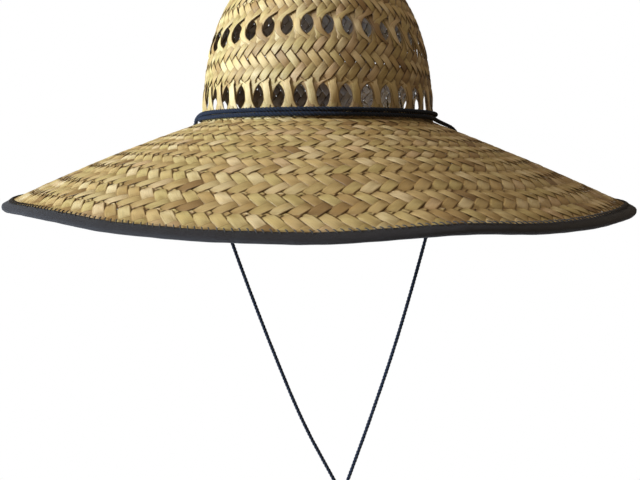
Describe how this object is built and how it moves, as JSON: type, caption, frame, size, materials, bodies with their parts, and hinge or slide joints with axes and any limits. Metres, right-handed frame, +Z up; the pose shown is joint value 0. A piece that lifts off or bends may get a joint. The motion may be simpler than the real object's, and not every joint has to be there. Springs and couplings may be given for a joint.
{
  "type": "sombrero",
  "caption": "Wide-brimmed woven straw sun hat with a vented oval crown, a down-sloping brim with a taped edge, and a cord round the crown that hangs as a chin cord with a slide bead.",
  "frame": {"origin": "centre of the head opening, in the plane where the crown meets the brim", "axes": "+Z up through the crown, -Y to the front of the hat, +X to the right seen from the front"},
  "size_m": [0.4419, 0.4719, 0.4743],
  "materials": {
    "straw": "dried palm straw, satin with lengthwise fibres",
    "binding": "charcoal woven tape",
    "thread": "sewing thread",
    "cord": "twisted black cord",
    "bead": "stained turned wood"
  },
  "bodies": {
    "hat": {"crown_tip": "straw", "crown_upper_vent_posts": "straw", "crown_middle_band": "straw", "crown_lower_vent_posts": "straw", "crown_base_band": "straw", "brim": "straw", "brim_binding": "binding", "binding_thread": "thread", "crown_cord": "cord"},
    "chin_cord": {"chin_cord_left": "cord", "chin_cord_right": "cord", "cord_end_knot": "cord", "cord_tails": "cord"},
    "slide_bead": {"cord_bead": "bead"}
  },
  "joints": [
    {"name": "chin_cord_swing", "type": "hinge", "parent": "hat", "child": "chin_cord", "pos_m": [0, 0, -0.0115], "axis": [1, 0, 0], "range_deg": [-60, 60]},
    {"name": "bead_slide", "type": "slide", "parent": "chin_cord", "child": "slide_bead", "axis": [0, 0, 1], "range_m": [-0.038, 0]}
  ]
}
